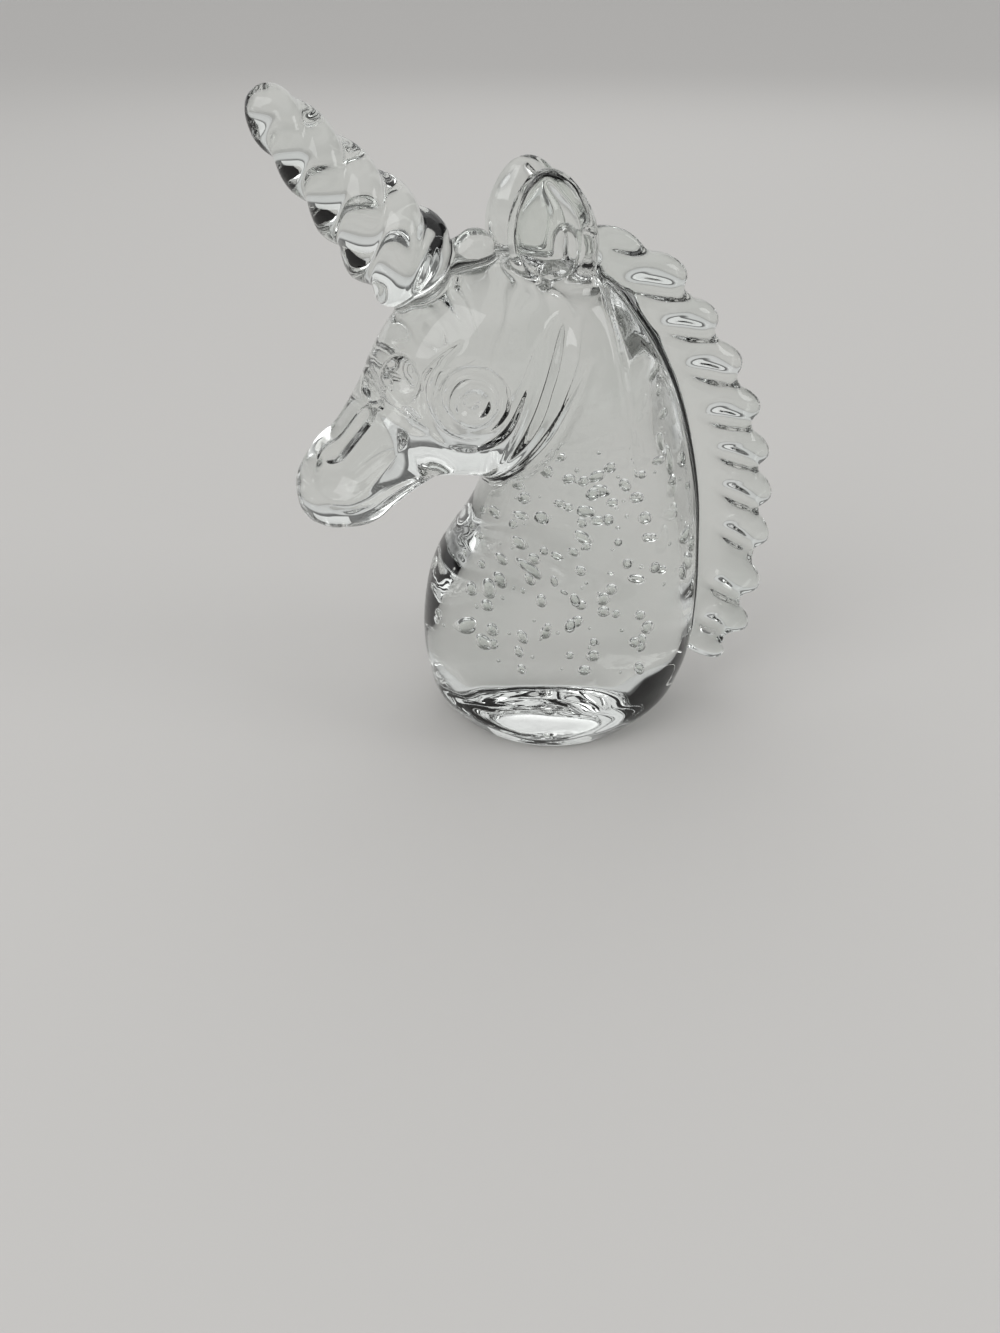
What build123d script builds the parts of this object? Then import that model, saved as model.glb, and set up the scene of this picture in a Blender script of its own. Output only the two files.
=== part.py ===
import os
from math import atan2, cos, degrees, pi, radians, sin, sqrt

from build123d import *

os.makedirs("parts", exist_ok=True)

# A unicorn's head, neck and breast in clear glass, worked hot from gathers and bits of glass.
# It faces -X, its left side is -Y, and it stands on the ground flat at the origin.

# Breast and neck, one clear gather
neck_height = 126.0
breast_length = 75.0
breast_width = 68.0
# Height, middle, half length and half width of each ellipse up the gather
gather_shares = [
    (0.000, 0.000, 0.350, 0.405),
    (0.040, 0.010, 0.430, 0.457),
    (0.110, 0.023, 0.482, 0.494),
    (0.240, 0.032, 0.502, 0.500),
    (0.365, 0.053, 0.475, 0.475),
    (0.490, 0.112, 0.400, 0.420),
    (0.620, 0.122, 0.345, 0.355),
    (0.746, 0.095, 0.303, 0.300),
    (0.857, 0.045, 0.248, 0.245),
    (0.940, -0.020, 0.192, 0.190),
    (0.985, -0.060, 0.125, 0.125),
]

# Bubbled core inside the gather, in the same shares
core_shares = [
    (0.115, 0.030, 0.210, 0.230),
    (0.135, 0.030, 0.310, 0.330),
    (0.185, 0.031, 0.395, 0.400),
    (0.270, 0.036, 0.432, 0.430),
    (0.380, 0.050, 0.413, 0.412),
    (0.490, 0.107, 0.325, 0.350),
    (0.570, 0.173, 0.215, 0.265),
    (0.630, 0.213, 0.145, 0.180),
    (0.662, 0.227, 0.070, 0.085),
]

# Bubbles in the core, in rows that spiral round it
bubble_rows = 10
bubbles_in_row = 8
bubble_radii = [1.35, 1.7, 1.5]
bubble_depth_shares = [0.80, 0.42, 0.66, 0.22]
first_row_share = 0.10
last_row_share = 0.86
golden_angle = 180 * (3 - sqrt(5))

# Head, an egg along an axis that drops from the poll to the muzzle
head_forward = 16.0
head_below_top = 29.0
head_drop = 34.5
head_length = 92.0
head_height = 54.0
head_width = 46.0
cheek_share = 0.325
# Place along the head, rise, half height and half width of each ellipse
head_shares = [
    (0.000, 0.000, 0.085, 0.085),
    (0.022, 0.000, 0.180, 0.180),
    (0.087, 0.000, 0.345, 0.350),
    (0.217, 0.007, 0.480, 0.480),
    (0.358, 0.010, 0.500, 0.500),
    (0.478, 0.032, 0.450, 0.460),
    (0.565, 0.055, 0.357, 0.395),
    (0.641, 0.055, 0.280, 0.320),
    (0.739, 0.025, 0.236, 0.280),
    (0.826, -0.008, 0.218, 0.255),
    (0.902, -0.018, 0.185, 0.220),
    (0.957, -0.018, 0.125, 0.150),
    (0.985, -0.018, 0.060, 0.070),
]

# Seam between head and neck, from behind the poll down the cheek and out under the chin
seam_shares = [
    (1.05, 1.30),
    (0.62, 0.60),
    (0.48, 0.30),
    (0.34, 0.00),
    (0.16, -0.31),
    (-0.13, -0.48),
    (-0.42, -0.74),
    (-1.75, -1.40),
]
zone_shares = [(-1.75, 1.60), (1.05, 1.60)]

# Pressed details of the head
press_radius = 16.0
press_depth = 2.5
press_along_share = 0.76
press_rise_share = 0.09
dimple_radius = 9.0
dimple_depth = 2.0
dimple_along_share = 0.54
dimple_rise_share = 0.31
socket_radius = 24.0
socket_depth = 1.8
mouth_length = 15.0
mouth_height = 3.2
mouth_along_share = 0.73
mouth_rise_share = -0.22

# Eyes, round bits pressed into the sockets
eye_along_share = 0.40
eye_rise_share = 0.06
eye_radius = 6.2
eye_stand = 1.2
eye_root = 3.0
pupil_radius = 2.6
pupil_depth = 1.0
ring_radius = 4.6
ring_groove = 0.7

# Horn, a three-lobed bit twisted like a rope
horn_length = 58.5
horn_radius = 12.6
horn_lean = 41.3
horn_along_share = 0.328
horn_rise_share = 0.50
horn_lobes = 3
horn_lead = 36.0
horn_steps = 27
groove_share = 0.78
# Place along the horn and its radius there
horn_shares = [
    (-0.11, 0.50),
    (0.00, 0.60),
    (0.07, 0.90),
    (0.15, 1.00),
    (0.35, 0.93),
    (0.55, 0.78),
    (0.75, 0.65),
    (0.87, 0.56),
    (0.94, 0.44),
    (0.98, 0.29),
    (1.00, 0.12),
]

# Forelock, a bead behind the horn's root
forelock_radius = 5.2
forelock_back = 11.5

# Ears, cupped leaves on the poll
ear_height = 31.5
ear_length = 22.0
ear_thickness = 11.0
ear_wall = 2.4
ear_back = 14.8
ear_rise = 19.0
ear_spread = 6.8
ear_splay = 5.0
left_ear_lean = 6.0
right_ear_lean = 1.0
ear_stagger = 4.5
# Height, half length and half thickness of each ellipse up the ear
ear_shares = [
    (0.00, 0.34, 0.36),
    (0.25, 0.46, 0.46),
    (0.50, 0.50, 0.50),
    (0.72, 0.42, 0.42),
    (0.88, 0.27, 0.28),
    (0.97, 0.12, 0.13),
]
cup_from_share = 0.30
cup_to_share = 0.90

# Mane, a flat strap crimped into lobes along an arc, from the poll out behind the neck
crest_stand = 19.65
crest_rise_share = 0.400
crest_top_back = 26.7
crest_top_rise = 39.1
crest_start = -25.5
mane_lobes = 11
mane_depth = 24.0
mane_thickness = 7.6
lobe_radius = 7.4
crimp_radius = 3.6
crimp_depth = 1.7
crimp_length = 13.0
crimp_inset = 1.5
crimp_tilt_top = 46.0
crimp_tilt_bottom = 20.0


def along(shares, place):
    """The row of a table at a place between its rows, each value drawn straight from row to row."""
    for low, high in zip(shares, shares[1:]):
        if place <= high[0]:
            part = (place - low[0]) / (high[0] - low[0])
            return [a + (b - a) * part for a, b in zip(low, high)][1:]
    return list(shares[-1][1:])


def polar(centre, radius, turn):
    """The point at a radius from a centre, turned from the first axis."""
    return (centre[0] + radius * cos(radians(turn)), centre[1] + radius * sin(radians(turn)))


# The head's own axes: along the muzzle, and up through the brow
head_centre = Vector(-head_forward, 0, neck_height - head_below_top)
muzzle_way = Vector(-cos(radians(head_drop)), 0, -sin(radians(head_drop)))
brow_way = Vector(-sin(radians(head_drop)), 0, cos(radians(head_drop)))


def head_place(along_share, rise_share, aside=0.0):
    """A point of the head from its place along the muzzle axis, its rise and its distance aside."""
    from_centre = muzzle_way * head_length * (along_share - cheek_share)
    return head_centre + from_centre + brow_way * head_height * rise_share + Vector(0, aside, 0)


def head_half_width(along_share, rise_share):
    """The head's half width at a place on its side."""
    middle, half_height, half_width = along(head_shares, along_share)
    off_middle = (rise_share - middle) / half_height
    return head_width * half_width * sqrt(1 - off_middle**2)


# The whole gather, before the head and the core are taken out of it
with BuildPart() as gather:
    for height, middle, half_length, half_width in gather_shares:
        with BuildSketch(Plane.XY.offset(neck_height * height)):
            with Locations((breast_length * middle, 0)):
                Ellipse(breast_length * half_length, breast_width * half_width)
    loft()

with BuildPart() as core_blank:
    for height, middle, half_length, half_width in core_shares:
        with BuildSketch(Plane.XY.offset(neck_height * height)):
            with Locations((breast_length * middle, 0)):
                Ellipse(breast_length * half_length, breast_width * half_width)
    loft()

# Everything forward of the seam belongs to the head
with BuildPart() as head_zone:
    with BuildSketch(Plane.XZ):
        with BuildLine():
            seam_points = [
                (head_centre.X + head_height * x, head_centre.Z + head_height * z)
                for x, z in seam_shares
            ]
            zone_points = [
                (head_centre.X + head_height * x, head_centre.Z + head_height * z)
                for x, z in zone_shares
            ]
            Spline(*seam_points)
            Polyline(seam_points[-1], *zone_points, seam_points[0])
        make_face()
    extrude(amount=breast_width, both=True)

# The head's egg, before it is joined to its end of the gather
with BuildPart() as head_blank:
    head_back = Plane(origin=head_place(0, 0), x_dir=(0, -1, 0), z_dir=muzzle_way)
    for place, middle, half_height, half_width in head_shares:
        with BuildSketch(head_back.offset(head_length * place)):
            with Locations((0, head_height * middle)):
                Ellipse(head_width * half_width, head_height * half_height)
    loft()

# Bubbled core
core_low = core_shares[0][0]
core_high = core_shares[-1][0]
bubble_places = [[] for _ in bubble_radii]
for row in range(bubble_rows):
    row_share = first_row_share + (last_row_share - first_row_share) * row / (bubble_rows - 1)
    for place in range(bubbles_in_row):
        count = row * bubbles_in_row + place
        step = (place + 1 / 2) / bubbles_in_row / bubble_rows * (last_row_share - first_row_share)
        height = core_low + (core_high - core_low) * (row_share + step)
        middle, half_length, half_width = along(core_shares, height)
        depth = bubble_depth_shares[count % len(bubble_depth_shares)]
        turn = radians(golden_angle * count)
        bubble_places[count % len(bubble_radii)].append(
            (
                breast_length * (middle + half_length * depth * cos(turn)),
                breast_width * half_width * depth * sin(turn),
                neck_height * height,
            )
        )

with BuildPart() as bubble_core:
    add(core_blank.part)
    for radius, places in zip(bubble_radii, bubble_places):
        with Locations(*places):
            Sphere(radius, mode=Mode.SUBTRACT)

bubble_core.part.label = "bubble_core"
export_step(bubble_core.part, "parts/bubble_core.step")

# Clear casing
with BuildPart() as neck_casing:
    add(gather.part)
    add(head_zone.part, mode=Mode.SUBTRACT)
    add(core_blank.part, mode=Mode.SUBTRACT)

neck_casing.part.label = "neck_casing"
export_step(neck_casing.part, "parts/neck_casing.step")

# Eyes
eyes = {}
eye_seat = head_half_width(eye_along_share, eye_rise_share) - socket_depth
for side, name in ((-1, "left_eye"), (1, "right_eye")):
    eye_plane = Plane(
        origin=head_place(eye_along_share, eye_rise_share, side * eye_seat),
        x_dir=(1, 0, 0),
        z_dir=(0, side, 0),
    )
    with BuildPart(eye_plane) as eye:
        Cylinder(eye_radius, eye_root, align=(Align.CENTER, Align.CENTER, Align.MAX))
        with BuildSketch(eye_plane):
            Circle(eye_radius)
        extrude(amount=eye_stand)
        fillet(eye.edges().filter_by(GeomType.CIRCLE).sort_by(Axis.Y)[0 if side < 0 else -1], eye_stand / 2)
        with BuildSketch(eye_plane.offset(eye_stand)):
            Circle(ring_radius)
            Circle(ring_radius - ring_groove, mode=Mode.SUBTRACT)
        extrude(amount=-ring_groove, mode=Mode.SUBTRACT)
        with Locations(eye_plane.offset(eye_stand)):
            pupil_ball = (pupil_radius**2 + pupil_depth**2) / (2 * pupil_depth)
            with Locations((0, 0, pupil_ball - pupil_depth)):
                Sphere(pupil_ball, mode=Mode.SUBTRACT)
    eyes[name] = eye.part

# Head
with BuildPart() as head:
    add(head_blank.part)
    add(gather.part)
    add(head_zone.part, mode=Mode.INTERSECT)
    for side in (-1, 1):
        pinch = head_half_width(press_along_share, press_rise_share) + press_radius - press_depth
        with Locations(head_place(press_along_share, press_rise_share, side * pinch)):
            Sphere(press_radius, mode=Mode.SUBTRACT)
        dent = head_half_width(dimple_along_share, dimple_rise_share) + dimple_radius - dimple_depth
        with Locations(head_place(dimple_along_share, dimple_rise_share, side * dent)):
            Sphere(dimple_radius, mode=Mode.SUBTRACT)
        hollow = eye_seat + socket_radius
        with Locations(head_place(eye_along_share, eye_rise_share, side * hollow)):
            Sphere(socket_radius, mode=Mode.SUBTRACT)
    mouth_plane = Plane(
        origin=head_place(mouth_along_share, mouth_rise_share), x_dir=muzzle_way, z_dir=(0, 1, 0)
    )
    with BuildSketch(mouth_plane):
        Ellipse(mouth_length / 2, mouth_height / 2)
    extrude(amount=head_width, both=True, mode=Mode.SUBTRACT)
    for eye_part in eyes.values():
        add(eye_part, mode=Mode.SUBTRACT)

head.part.label = "head"
export_step(head.part, "parts/head.step")

for name, eye_part in eyes.items():
    eye_part.label = name
    export_step(eye_part, f"parts/{name}.step")

# Horn
horn_way = Vector(-sin(radians(horn_lean)), 0, cos(radians(horn_lean)))
horn_foot = Plane(
    origin=head_place(horn_along_share, horn_rise_share), x_dir=(0, 1, 0), z_dir=horn_way
)
horn_start = horn_shares[0][0]
with BuildPart() as horn:
    for step in range(horn_steps + 1):
        place = horn_start + (1 - horn_start) * sin(pi / 2 * step / horn_steps)
        radius = horn_radius * along(horn_shares, place)[0]
        turn = 360 * horn_length * place / horn_lead
        with BuildSketch(horn_foot.offset(horn_length * place)):
            with BuildLine():
                for lobe in range(horn_lobes):
                    notch = turn + 360 / horn_lobes * lobe
                    crown = notch + 180 / horn_lobes
                    after = notch + 360 / horn_lobes
                    ThreePointArc(
                        polar((0, 0), radius * groove_share, notch),
                        polar((0, 0), radius, crown),
                        polar((0, 0), radius * groove_share, after),
                    )
            make_face()
    loft()
    add(head.part, mode=Mode.SUBTRACT)

horn.part.label = "horn"
export_step(horn.part, "parts/horn.step")

# Ears
ears = {}
for side, name, stagger, ear_lean in (
    (-1, "left_ear", 0.0, left_ear_lean),
    (1, "right_ear", -ear_stagger, right_ear_lean),
):
    ear_foot = Plane(
        origin=head_centre + Vector(ear_back + stagger, side * ear_spread, ear_rise),
        x_dir=(1, 0, 0),
        z_dir=(-sin(radians(ear_lean)), side * sin(radians(ear_splay)), cos(radians(ear_lean))),
    )
    with BuildPart() as cup:
        for height, half_length, half_thickness in ear_shares:
            if cup_from_share <= height <= cup_to_share:
                with BuildSketch(ear_foot.offset(ear_height * height)):
                    with Locations((-ear_wall / 2, side * ear_wall)):
                        Ellipse(
                            ear_length * half_length - ear_wall,
                            ear_thickness * half_thickness - ear_wall / 2,
                        )
        loft()
    with BuildPart() as ear:
        for height, half_length, half_thickness in ear_shares:
            with BuildSketch(ear_foot.offset(ear_height * height)):
                Ellipse(ear_length * half_length, ear_thickness * half_thickness)
        loft()
        add(cup.part, mode=Mode.SUBTRACT)
        add(gather.part, mode=Mode.SUBTRACT)
        add(head_blank.part, mode=Mode.SUBTRACT)
    ears[name] = ear.part
    ear.part.label = name
    export_step(ear.part, f"parts/{name}.step")

# Forelock
with BuildPart() as forelock:
    bead_place = horn_foot.origin - muzzle_way * forelock_back
    with Locations(bead_place):
        Sphere(forelock_radius)
    add(head.part, mode=Mode.SUBTRACT)
    add(horn.part, mode=Mode.SUBTRACT)

forelock.part.label = "forelock"
export_step(forelock.part, "parts/forelock.step")

# Mane, on the circle that stands furthest out behind the neck and comes in to the poll
neck_back = breast_length * max(middle + half_length for _, middle, half_length, _ in gather_shares)
crest_back = neck_back + crest_stand
crest_rise = neck_height * crest_rise_share
crest_top = (head_centre.X + crest_top_back, head_centre.Z + crest_top_rise)
crest_inward = crest_back - crest_top[0]
crest_upward = crest_top[1] - crest_rise
crest_radius = (crest_inward**2 + crest_upward**2) / (2 * crest_inward)
crest_centre = (crest_back - crest_radius, crest_rise)
crest_end = degrees(atan2(crest_upward, crest_radius - crest_inward))
lobe_step = (crest_end - crest_start) / mane_lobes
with BuildPart() as mane:
    with BuildSketch(Plane.XZ):
        with BuildLine():
            outer_radius = crest_radius - lobe_radius
            inner_radius = crest_radius - mane_depth
            for radius in (outer_radius, inner_radius):
                CenterArc(crest_centre, radius, crest_start, crest_end - crest_start)
            for turn in (crest_start, crest_end):
                Line(
                    polar(crest_centre, inner_radius, turn), polar(crest_centre, outer_radius, turn)
                )
        make_face()
        for lobe in range(mane_lobes):
            turn = crest_start + lobe_step * (lobe + 1 / 2)
            with Locations(polar(crest_centre, outer_radius, turn)):
                Circle(lobe_radius)
    extrude(amount=mane_thickness / 2, both=True)
    for lobe in range(1, mane_lobes):
        turn = crest_start + lobe_step * lobe
        tilt = crimp_tilt_bottom + (crimp_tilt_top - crimp_tilt_bottom) * lobe / mane_lobes
        middle_x, middle_z = polar(crest_centre, outer_radius - crimp_inset, turn)
        crimp_way = Vector(cos(radians(turn - tilt)), 0, sin(radians(turn - tilt)))
        for side in (-1, 1):
            aside = side * (mane_thickness / 2 + crimp_radius - crimp_depth)
            crimp_plane = Plane(origin=(middle_x, aside, middle_z), x_dir=(0, 1, 0), z_dir=crimp_way)
            with Locations(crimp_plane):
                Cylinder(crimp_radius, crimp_length, mode=Mode.SUBTRACT)
    add(gather.part, mode=Mode.SUBTRACT)
    add(head_blank.part, mode=Mode.SUBTRACT)
    for ear_part in ears.values():
        add(ear_part, mode=Mode.SUBTRACT)

mane.part.label = "mane"
export_step(mane.part, "parts/mane.step")
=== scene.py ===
# %% [markdown]
# # A unicorn's head in clear glass
#
# This is the head, neck and breast of a unicorn, made hot from clear glass: a tall gather with a
# bubbled core, a head pulled out of it, and bits of glass put on for the eyes, ears, horn and mane.
# It stands on a flat ground foot. Each bit is one piece here, and rides on the object's one body.

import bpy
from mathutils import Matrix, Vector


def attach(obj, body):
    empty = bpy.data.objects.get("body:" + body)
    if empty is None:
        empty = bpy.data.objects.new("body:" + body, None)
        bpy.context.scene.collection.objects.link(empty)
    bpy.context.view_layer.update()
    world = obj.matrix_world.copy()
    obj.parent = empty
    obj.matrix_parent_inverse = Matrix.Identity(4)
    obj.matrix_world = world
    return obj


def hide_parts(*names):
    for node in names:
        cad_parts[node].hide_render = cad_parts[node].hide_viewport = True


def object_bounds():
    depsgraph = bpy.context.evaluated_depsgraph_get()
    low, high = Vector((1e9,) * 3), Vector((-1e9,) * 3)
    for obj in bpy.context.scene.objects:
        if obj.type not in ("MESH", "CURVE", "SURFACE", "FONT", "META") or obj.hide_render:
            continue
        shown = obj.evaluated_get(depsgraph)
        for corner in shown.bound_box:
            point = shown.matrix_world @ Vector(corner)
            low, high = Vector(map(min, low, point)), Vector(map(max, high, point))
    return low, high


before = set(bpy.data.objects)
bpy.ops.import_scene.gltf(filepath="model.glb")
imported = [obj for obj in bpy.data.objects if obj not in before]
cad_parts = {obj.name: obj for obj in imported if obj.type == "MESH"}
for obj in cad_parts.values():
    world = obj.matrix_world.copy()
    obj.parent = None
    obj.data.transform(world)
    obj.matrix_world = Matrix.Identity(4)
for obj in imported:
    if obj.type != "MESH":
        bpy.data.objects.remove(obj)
cad_box = [list(corner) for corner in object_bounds()]
print("pieces of the frame:", sorted(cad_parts))

# %% Tools
from math import atan2, cos, degrees, pi, radians, sin, tau

import bmesh
import bpy
import numpy as np
import openvdb
from mathutils import Matrix, Vector

mm = 0.001
scene = bpy.context.scene
print("Blender", bpy.app.version_string)


def linked(name, data):
    """A new object with its data, linked to the scene."""
    made = bpy.data.objects.new(name, data)
    scene.collection.objects.link(made)
    return made


# %% [markdown]
# ## Working in a block of voxels
#
# Hot glass has no corners: where two bits meet they flow together in a soft fillet. A mesh tool such
# as Boolean gives a hard line there. So the form is first a block of small cells, each holding its
# distance to the skin of the glass, less than zero inside. Two such fields blend with one formula,
# and the skin is drawn from the result at the end. Fields are in millimetres, meshes in metres.

# %% The block
voxel = 0.6
border = 5.5 * voxel
block_low = np.array(cad_box[0]) / mm - border
block_high = np.array(cad_box[1]) / mm + border
block_size = tuple(int(n) for n in np.ceil((block_high - block_low) / voxel) + 1)
block_axes = [block_low[a] + voxel * np.arange(block_size[a]) for a in range(3)]
print("block of", block_size, "voxels")

# %% Fields
# Farther from the skin than reach, a field stays at that distance
reach = 6.0
blur_tail = 2.5


def field_of(mesh, scale=1 / mm):
    """The distance from each voxel to a closed mesh's skin, less than zero inside."""
    points = np.empty(3 * len(mesh.vertices), np.float32)
    mesh.vertices.foreach_get("co", points)
    mesh.calc_loop_triangles()
    corners = np.empty(3 * len(mesh.loop_triangles), np.int32)
    mesh.loop_triangles.foreach_get("vertices", corners)
    place = openvdb.createLinearTransform(voxelSize=voxel)
    place.postTranslate(tuple(block_low))
    shell = openvdb.FloatGrid.createLevelSetFromPolygons(
        points.reshape(-1, 3) * scale,
        triangles=corners.reshape(-1, 3).astype(np.uint32),
        transform=place,
        halfWidth=reach / voxel,
    )
    field = np.empty(block_size, np.float32)
    shell.copyToArray(field)
    return field


def fused(a, b, soft):
    """Two forms joined, with a fillet about as wide as soft."""
    part = np.clip(0.5 + 0.5 * (b - a) / soft, 0, 1)
    return b + (a - b) * part - soft * part * (1 - part)


def pressed(a, b, soft):
    """Form a with form b pressed into it, and a rounded lip."""
    return -fused(-a, b, soft)


def blurred(field, width):
    """A field with its creases rounded, as a reheat does to the skin."""
    steps = int(np.ceil(blur_tail * width / voxel))
    weights = np.exp(-0.5 * (np.arange(-steps, steps + 1) * voxel / width) ** 2)
    weights /= weights.sum()
    for axis in range(3):
        total = np.zeros_like(field)
        for step, weight in zip(range(-steps, steps + 1), weights):
            total += weight * np.roll(field, step, axis)
        field = total
    return field


print("a fillet of 1 mm fills", -float(fused(0.0, 0.0, 1.0)), "mm where two skins cross")

# %% [markdown]
# ## The gather and the head
#
# Both are round in section and swell and taper, so each is a stack of ellipses drawn smoothly from
# one to the next. The rows hold shares of a few whole sizes, as on a turner's template.

# %% Sizes of the gather and the head
neck_height = 126.0
breast_length = 75.0
breast_width = 68.0
# Each row: place up the neck, middle, half length and half width
gather_shares = [
    (0.000, 0.000, 0.350, 0.405), (0.040, 0.010, 0.430, 0.457), (0.110, 0.023, 0.482, 0.494),
    (0.240, 0.032, 0.502, 0.500), (0.365, 0.053, 0.475, 0.475), (0.490, 0.112, 0.400, 0.420),
    (0.620, 0.122, 0.345, 0.355), (0.746, 0.095, 0.303, 0.300), (0.857, 0.045, 0.248, 0.245),
    (0.940, -0.020, 0.192, 0.190), (0.985, -0.060, 0.125, 0.125),
]
head_forward = 16.0
head_rise = 97.0
head_drop = 34.5
head_length = 92.0
head_height = 54.0
head_width = 46.0
cheek_share = 0.325
# Each row: place along the muzzle, middle, half height and half width
head_shares = [
    (0.000, 0.000, 0.085, 0.085), (0.022, 0.000, 0.180, 0.180), (0.087, 0.000, 0.345, 0.350),
    (0.217, 0.007, 0.480, 0.480), (0.358, 0.010, 0.500, 0.500), (0.478, 0.032, 0.450, 0.460),
    (0.565, 0.055, 0.357, 0.395), (0.641, 0.055, 0.280, 0.320), (0.739, 0.025, 0.236, 0.280),
    (0.826, -0.008, 0.218, 0.255), (0.902, -0.018, 0.185, 0.220), (0.957, -0.018, 0.125, 0.150),
    (0.985, -0.018, 0.060, 0.070),
]
print("gather", neck_height, "mm high and head", head_length, "mm long")

# %% Rows of ellipses
ring_count = 160
points_around = 160
turns = np.linspace(0, tau, points_around, endpoint=False)
print(ring_count, "rings of", points_around, "points")


def smooth_rows(rows, count):
    """Rows between the given ones, on a curve that passes through them all."""
    rows = np.array(rows)
    at = rows[:, 0]
    slopes = np.gradient(rows[:, 1:], at, axis=0)
    places = np.linspace(at[0], at[-1], count)
    low = np.clip(np.searchsorted(at, places, side="right") - 1, 0, len(at) - 2)
    gap = (at[low + 1] - at[low])[:, None]
    part = (places - at[low])[:, None] / gap
    start, end = rows[low, 1:], rows[low + 1, 1:]
    bend = part * (1 - part)
    drawn = start + (end - start) * part**2 * (3 - 2 * part)
    drawn += gap * bend * ((1 - part) * slopes[low] - part * slopes[low + 1])
    return np.column_stack([places, drawn])


def lofted(name, rings):
    """A closed mesh through rings of points, each ring a list of places in millimetres."""
    around = len(rings[0])
    points = [point for ring in rings for point in ring]
    faces = []
    for ring in range(len(rings) - 1):
        for step in range(around):
            here, there = ring * around + step, ring * around + (step + 1) % around
            faces.append((here, there, there + around, here + around))
    faces.append(tuple(reversed(range(around))))
    faces.append(tuple(range(len(points) - around, len(points))))
    mesh = bpy.data.meshes.new(name)
    mesh.from_pydata([tuple(p) for p in points], [], faces)
    return mesh


# %% The gather and the head
fillet = 2.5
# The head's own axes: along the muzzle, and up through the brow
head_centre = np.array([-head_forward, 0.0, head_rise])
muzzle_way = np.array([-cos(radians(head_drop)), 0.0, -sin(radians(head_drop))])
brow_way = np.array([-sin(radians(head_drop)), 0.0, cos(radians(head_drop))])


def gather_ring(place, middle, half_length, half_width):
    """A level ellipse of the gather, from one row of shares."""
    x = breast_length * (middle + half_length * np.cos(turns))
    y = breast_width * half_width * np.sin(turns)
    return np.column_stack([x, y, np.full_like(x, neck_height * place)])


def head_ring(place, middle, half_height, half_width):
    """An ellipse of the head, square to the muzzle, from one row of shares."""
    rise = (middle + half_height * np.cos(turns))[:, None] * head_height * brow_way
    aside = (half_width * np.sin(turns))[:, None] * head_width * np.array([0, -1.0, 0])
    return head_centre + muzzle_way * head_length * (place - cheek_share) + rise + aside


gather_rings = [gather_ring(*row) for row in smooth_rows(gather_shares, ring_count)]
head_rings = [head_ring(*row) for row in smooth_rows(head_shares, ring_count)]
glass = fused(field_of(lofted("gather", gather_rings), 1), field_of(lofted("head", head_rings), 1), fillet)
print("gather and head fused:", int((glass < 0).sum()), "voxels of glass")

# %% [markdown]
# ## Geometry Nodes for what repeats
#
# The horn's turns, the mane's lobes and the bubbles all follow a rule, so each comes from a node
# tree with its sizes as named inputs. These helpers build a tree in a few lines: one makes the tree
# and its inputs, one adds a node, and one runs the finished tree and gives back a plain mesh.

# %% Tree helpers
input_kinds = {float: "NodeSocketFloat", int: "NodeSocketInt", bpy.types.Material: "NodeSocketMaterial"}
print(len(input_kinds), "kinds of tree input")


def new_tree(name, **sizes):
    """A node tree with geometry in and out and a named input for each size."""
    tree = bpy.data.node_groups.new(name, "GeometryNodeTree")
    tree.interface.new_socket("Geometry", in_out="INPUT", socket_type="NodeSocketGeometry")
    tree.interface.new_socket("Geometry", in_out="OUTPUT", socket_type="NodeSocketGeometry")
    for label, value in sizes.items():
        kind = input_kinds[type(value)]
        tree.interface.new_socket(label, in_out="INPUT", socket_type=kind).default_value = value
    return tree, tree.nodes.new("NodeGroupInput").outputs


def feed(tree, node, **inputs):
    """Values, outputs or other nodes for a node's inputs, which are named, or numbered as in_0."""
    for name, value in inputs.items():
        socket = node.inputs[int(name[3:]) if name.startswith("in_") else name.replace("_", " ")]
        if isinstance(value, bpy.types.Node):
            value = value.outputs[0]
        if isinstance(value, bpy.types.NodeSocket):
            tree.links.new(value, socket)
        else:
            socket.default_value = value
    return node


def put(tree, kind, settings=None, **inputs):
    """A new node, with its settings and what feeds its inputs."""
    node = tree.nodes.new(kind)
    for name, value in (settings or {}).items():
        setattr(node, name, value)
    return feed(tree, node, **inputs)


def calc(tree, operation, *values):
    """A sum on numbers or outputs, as one Math node."""
    inputs = {f"in_{place}": value for place, value in enumerate(values)}
    return put(tree, "ShaderNodeMath", {"operation": operation}, **inputs)


def grown(tree, sizes=None, start=None):
    """The plain mesh that a tree makes, from a start mesh if it needs one."""
    holder = linked(tree.name, start or bpy.data.meshes.new(tree.name))
    modifier = holder.modifiers.new("form", "NODES")
    modifier.node_group = tree
    for item in tree.interface.items_tree:
        if item.in_out == "INPUT" and item.name in (sizes or {}):
            modifier[item.identifier] = sizes[item.name]
    made = bpy.data.meshes.new_from_object(holder.evaluated_get(bpy.context.evaluated_depsgraph_get()))
    bpy.data.objects.remove(holder)
    return made


def close_tree(tree, geometry, **material):
    """Realize Instances, Set Material and the output, which end every tree."""
    real = put(tree, "GeometryNodeRealizeInstances", Geometry=geometry)
    put(tree, "NodeGroupOutput", Geometry=put(tree, "GeometryNodeSetMaterial", Geometry=real, **material))


def draw_curve(node, rows):
    """The curve of a Float Curve node through rows, whose places are spread over 0 to 1."""
    start, span = rows[0][0], rows[-1][0] - rows[0][0]
    points = node.mapping.curves[0].points
    points[0].location = (0, rows[0][1])
    points[1].location = (1, rows[-1][1])
    for place, value, *_ in rows[1:-1]:
        points.new((place - start) / span, value)
    node.mapping.update()


# %% [markdown]
# ## The horn
#
# The maker twists a bit with three lobes and draws it out to a point, so its section stays the same
# while it turns and shrinks. That is Curve to Mesh: a straight line with a tilt and a scale that
# change along it, swept with a three-lobed profile. A screw modifier could not thin the tip.

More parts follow.
